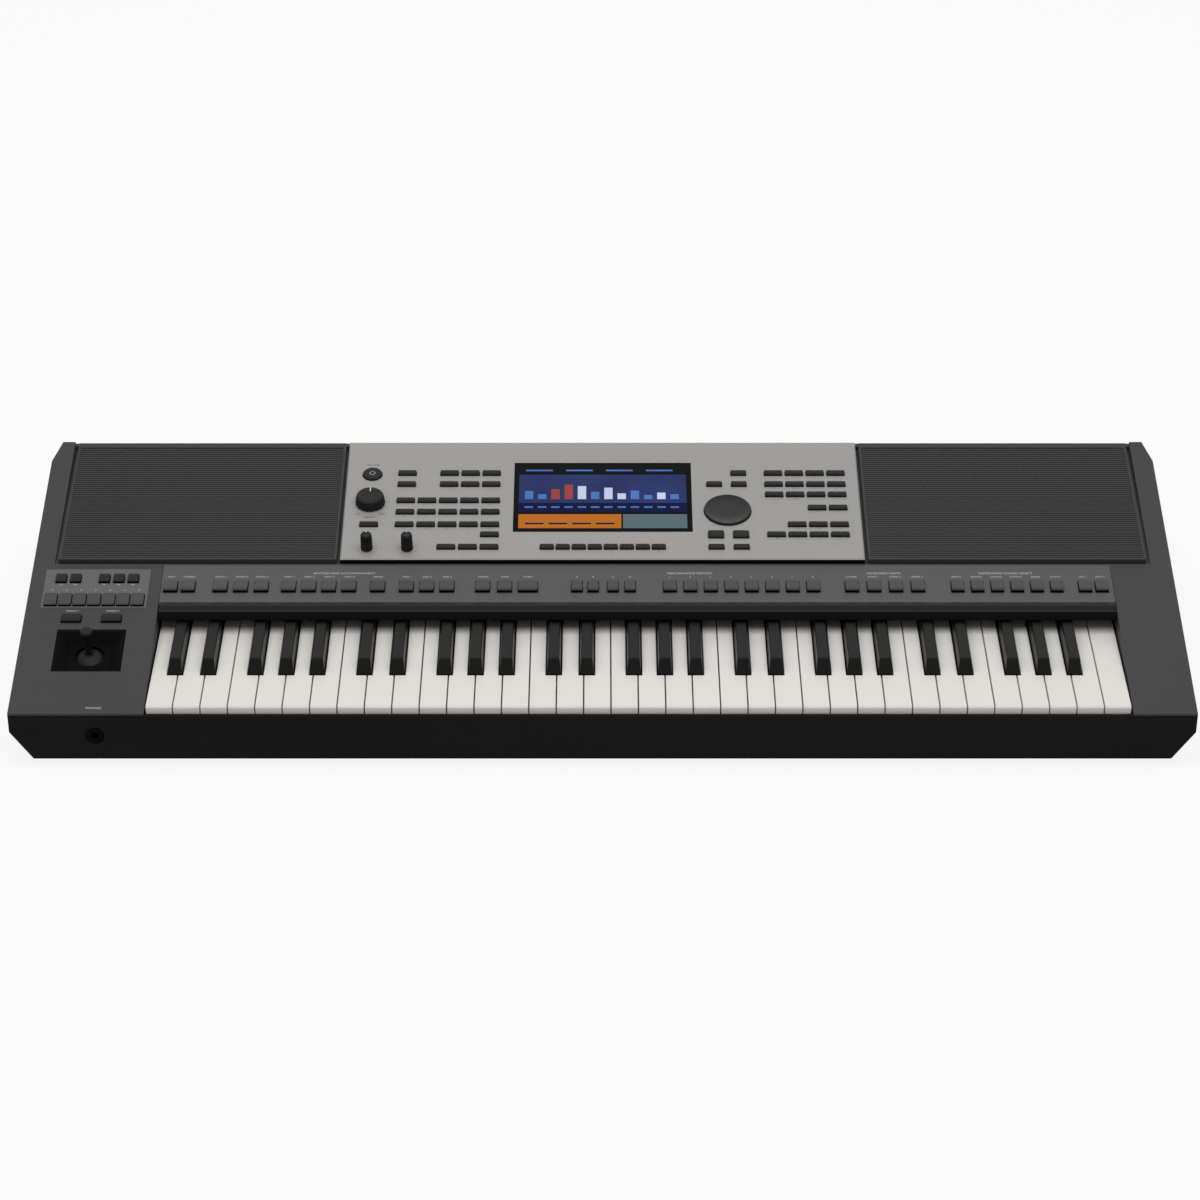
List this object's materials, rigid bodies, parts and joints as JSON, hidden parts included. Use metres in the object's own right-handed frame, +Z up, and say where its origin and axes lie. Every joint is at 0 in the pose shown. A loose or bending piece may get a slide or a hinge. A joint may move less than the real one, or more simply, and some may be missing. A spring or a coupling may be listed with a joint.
{
  "type": "arranger keyboard",
  "caption": "Arranger keyboard with full-size keys, silver control panel with display, speaker grilles and a joystick.",
  "frame": {"origin": "on the table, under the middle of the case's box", "axes": "+X to the player's right along the keys, +Y away from the player, +Z up"},
  "size_m": [1.02, 0.3798, 0.1207],
  "materials": {
    "case_grey": "dark grey moulding, fine grain",
    "strip_grey": "mid grey moulding, satin",
    "case_black": "black moulding, fine grain",
    "nose_black": "black, semi-gloss",
    "grille_grey": "dark grey powder coat",
    "panel_silver": "silver, fine metallic grain",
    "key_white": "ivory white, glossy",
    "key_black": "black, satin",
    "cap_dark": "dark grey, satin",
    "cap_grey": "mid grey, satin",
    "knob_dark": "black, satin",
    "display_glass": "clear pane over a lit display",
    "display_module": "display unit",
    "board": "green circuit board",
    "steel": "bright steel",
    "speaker": "black basket and cone",
    "felt": "red felt",
    "rubber": "black rubber",
    "socket_black": "black socket moulding"
  },
  "bodies": {
    "case": {"upper_case": "case_grey", "button_strip": "strip_grey", "lower_case": "case_black", "joystick_bezel": "case_black", "joystick_housing": "case_black", "key_frame": "case_black", "nameboard": "nose_black", "left_grille": "grille_grey", "right_grille": "grille_grey", "control_panel": "panel_silver", "display_glass": "display_glass", "display_module": "display_module", "panel_board": "board", "switch_boards": "board", "main_board": "board", "power_board": "board", "key_contact_board": "board", "key_pivot_rod": "steel", "key_stop_rail": "steel", "key_spring_comb": "steel", "woofers": "speaker", "tweeters": "speaker", "key_stop_felts": "felt", "rubber_feet": "rubber", "key_contact_rubber": "rubber", "potentiometers": "socket_black", "phones_jack": "socket_black", "rear_jacks": "socket_black", "round_sockets": "socket_black", "flat_sockets": "socket_black", "power_inlet": "socket_black"},
    "keys_c": {"keys_c": "key_white"},
    "keys_d": {"keys_d": "key_white"},
    "keys_e": {"keys_e": "key_white"},
    "keys_f": {"keys_f": "key_white"},
    "keys_g": {"keys_g": "key_white"},
    "keys_a": {"keys_a": "key_white"},
    "keys_b": {"keys_b": "key_white"},
    "key_high_c": {"key_high_c": "key_white"},
    "keys_c_sharp": {"keys_c_sharp": "key_black"},
    "keys_d_sharp": {"keys_d_sharp": "key_black"},
    "keys_f_sharp": {"keys_f_sharp": "key_black"},
    "keys_g_sharp": {"keys_g_sharp": "key_black"},
    "keys_a_sharp": {"keys_a_sharp": "key_black"},
    "style_buttons": {"style_buttons": "cap_dark"},
    "function_buttons": {"function_buttons": "cap_dark"},
    "screen_buttons": {"screen_buttons": "cap_dark"},
    "navigation_buttons": {"navigation_buttons": "cap_dark"},
    "voice_buttons": {"voice_buttons": "cap_dark"},
    "rhythm_buttons": {"rhythm_buttons": "cap_grey"},
    "memory_buttons": {"memory_buttons": "cap_grey"},
    "part_buttons": {"part_buttons": "cap_grey"},
    "scale_buttons": {"scale_buttons": "cap_grey"},
    "volume_knob": {"volume_knob": "knob_dark"},
    "live_knob_left": {"live_knob_left": "knob_dark"},
    "live_knob_right": {"live_knob_right": "knob_dark"},
    "data_dial": {"data_dial": "knob_dark"},
    "power_button": {"power_button": "knob_dark"},
    "joystick_lever": {"joystick_lever": "knob_dark"},
    "joystick_gimbal": {"joystick_gimbal": "knob_dark"}
  },
  "joints": [
    {"name": "keys_c_dip", "type": "hinge", "parent": "case", "child": "keys_c", "pos_m": [0, 0.02907, 0.0472], "axis": [1, 0, 0], "range_deg": [0, 2.7], "stiffness_Nm_per_rad": 2, "springref_deg": -20.05},
    {"name": "keys_d_dip", "type": "hinge", "parent": "case", "child": "keys_d", "pos_m": [0, 0.02907, 0.0472], "axis": [1, 0, 0], "range_deg": [0, 2.7], "stiffness_Nm_per_rad": 2, "springref_deg": -20.05},
    {"name": "keys_e_dip", "type": "hinge", "parent": "case", "child": "keys_e", "pos_m": [0, 0.02907, 0.0472], "axis": [1, 0, 0], "range_deg": [0, 2.7], "stiffness_Nm_per_rad": 2, "springref_deg": -20.05},
    {"name": "keys_f_dip", "type": "hinge", "parent": "case", "child": "keys_f", "pos_m": [0, 0.02907, 0.0472], "axis": [1, 0, 0], "range_deg": [0, 2.7], "stiffness_Nm_per_rad": 2, "springref_deg": -20.05},
    {"name": "keys_g_dip", "type": "hinge", "parent": "case", "child": "keys_g", "pos_m": [0, 0.02907, 0.0472], "axis": [1, 0, 0], "range_deg": [0, 2.7], "stiffness_Nm_per_rad": 2, "springref_deg": -20.05},
    {"name": "keys_a_dip", "type": "hinge", "parent": "case", "child": "keys_a", "pos_m": [0, 0.02907, 0.0472], "axis": [1, 0, 0], "range_deg": [0, 2.7], "stiffness_Nm_per_rad": 2, "springref_deg": -20.05},
    {"name": "keys_b_dip", "type": "hinge", "parent": "case", "child": "keys_b", "pos_m": [0, 0.02907, 0.0472], "axis": [1, 0, 0], "range_deg": [0, 2.7], "stiffness_Nm_per_rad": 2, "springref_deg": -20.05},
    {"name": "key_high_c_dip", "type": "hinge", "parent": "case", "child": "key_high_c", "pos_m": [0, 0.02907, 0.0472], "axis": [1, 0, 0], "range_deg": [0, 2.7], "stiffness_Nm_per_rad": 0.4, "springref_deg": -20.05},
    {"name": "keys_c_sharp_dip", "type": "hinge", "parent": "case", "child": "keys_c_sharp", "pos_m": [0, 0.02907, 0.0472], "axis": [1, 0, 0], "range_deg": [0, 2.7], "stiffness_Nm_per_rad": 1.6, "springref_deg": -20.05},
    {"name": "keys_d_sharp_dip", "type": "hinge", "parent": "case", "child": "keys_d_sharp", "pos_m": [0, 0.02907, 0.0472], "axis": [1, 0, 0], "range_deg": [0, 2.7], "stiffness_Nm_per_rad": 1.6, "springref_deg": -20.05},
    {"name": "keys_f_sharp_dip", "type": "hinge", "parent": "case", "child": "keys_f_sharp", "pos_m": [0, 0.02907, 0.0472], "axis": [1, 0, 0], "range_deg": [0, 2.7], "stiffness_Nm_per_rad": 1.6, "springref_deg": -20.05},
    {"name": "keys_g_sharp_dip", "type": "hinge", "parent": "case", "child": "keys_g_sharp", "pos_m": [0, 0.02907, 0.0472], "axis": [1, 0, 0], "range_deg": [0, 2.7], "stiffness_Nm_per_rad": 1.6, "springref_deg": -20.05},
    {"name": "keys_a_sharp_dip", "type": "hinge", "parent": "case", "child": "keys_a_sharp", "pos_m": [0, 0.02907, 0.0472], "axis": [1, 0, 0], "range_deg": [0, 2.7], "stiffness_Nm_per_rad": 1.6, "springref_deg": -20.05},
    {"name": "style_buttons_press", "type": "slide", "parent": "case", "child": "style_buttons", "axis": [0, 0.1478, -0.989], "range_m": [0, 0.0012], "stiffness_N_per_m": 900, "springref_m": -0.0012},
    {"name": "function_buttons_press", "type": "slide", "parent": "case", "child": "function_buttons", "axis": [0, 0.1478, -0.989], "range_m": [0, 0.0012], "stiffness_N_per_m": 900, "springref_m": -0.0012},
    {"name": "screen_buttons_press", "type": "slide", "parent": "case", "child": "screen_buttons", "axis": [0, 0.1478, -0.989], "range_m": [0, 0.0012], "stiffness_N_per_m": 900, "springref_m": -0.0012},
    {"name": "navigation_buttons_press", "type": "slide", "parent": "case", "child": "navigation_buttons", "axis": [0, 0.1478, -0.989], "range_m": [0, 0.0012], "stiffness_N_per_m": 900, "springref_m": -0.0012},
    {"name": "voice_buttons_press", "type": "slide", "parent": "case", "child": "voice_buttons", "axis": [0, 0.1478, -0.989], "range_m": [0, 0.0012], "stiffness_N_per_m": 900, "springref_m": -0.0012},
    {"name": "rhythm_buttons_press", "type": "slide", "parent": "case", "child": "rhythm_buttons", "axis": [0, 0.1805, -0.9836], "range_m": [0, 0.0012], "stiffness_N_per_m": 900, "springref_m": -0.0012},
    {"name": "memory_buttons_press", "type": "slide", "parent": "case", "child": "memory_buttons", "axis": [0, 0.1805, -0.9836], "range_m": [0, 0.0012], "stiffness_N_per_m": 900, "springref_m": -0.0012},
    {"name": "part_buttons_press", "type": "slide", "parent": "case", "child": "part_buttons", "axis": [0, 0.1805, -0.9836], "range_m": [0, 0.0012], "stiffness_N_per_m": 900, "springref_m": -0.0012},
    {"name": "scale_buttons_press", "type": "slide", "parent": "case", "child": "scale_buttons", "axis": [0, 0.1805, -0.9836], "range_m": [0, 0.0012], "stiffness_N_per_m": 900, "springref_m": -0.0012},
    {"name": "power_button_press", "type": "slide", "parent": "case", "child": "power_button", "axis": [0, 0.1478, -0.989], "range_m": [0, 0.0012], "stiffness_N_per_m": 600, "springref_m": -0.0012},
    {"name": "volume_knob_turn", "type": "hinge", "parent": "case", "child": "volume_knob", "pos_m": [-0.21185, 0.07888, 0.10666], "axis": [0, -0.1478, 0.989], "range_deg": [-145, 145]},
    {"name": "live_knob_left_turn", "type": "hinge", "parent": "case", "child": "live_knob_left", "pos_m": [-0.21185, 0.0141, 0.09698], "axis": [0, -0.1478, 0.989], "range_deg": [-145, 145]},
    {"name": "live_knob_right_turn", "type": "hinge", "parent": "case", "child": "live_knob_right", "pos_m": [-0.17565, 0.0141, 0.09698], "axis": [0, -0.1478, 0.989], "range_deg": [-145, 145]},
    {"name": "data_dial_turn", "type": "hinge", "parent": "case", "child": "data_dial", "pos_m": [0.11395, 0.0679, 0.10502], "axis": [0, -0.1478, 0.989], "continuous": true},
    {"name": "joystick_tilt", "type": "hinge", "parent": "case", "child": "joystick_gimbal", "pos_m": [-0.4485, -0.1076, 0.04825], "axis": [1, 0, 0], "range_deg": [-15, 15], "stiffness_Nm_per_rad": 0.3},
    {"name": "joystick_sway", "type": "hinge", "parent": "joystick_gimbal", "child": "joystick_lever", "pos_m": [-0.4485, -0.1076, 0.04825], "axis": [0, 0.9836, 0.1805], "range_deg": [-15, 15], "stiffness_Nm_per_rad": 0.3}
  ]
}
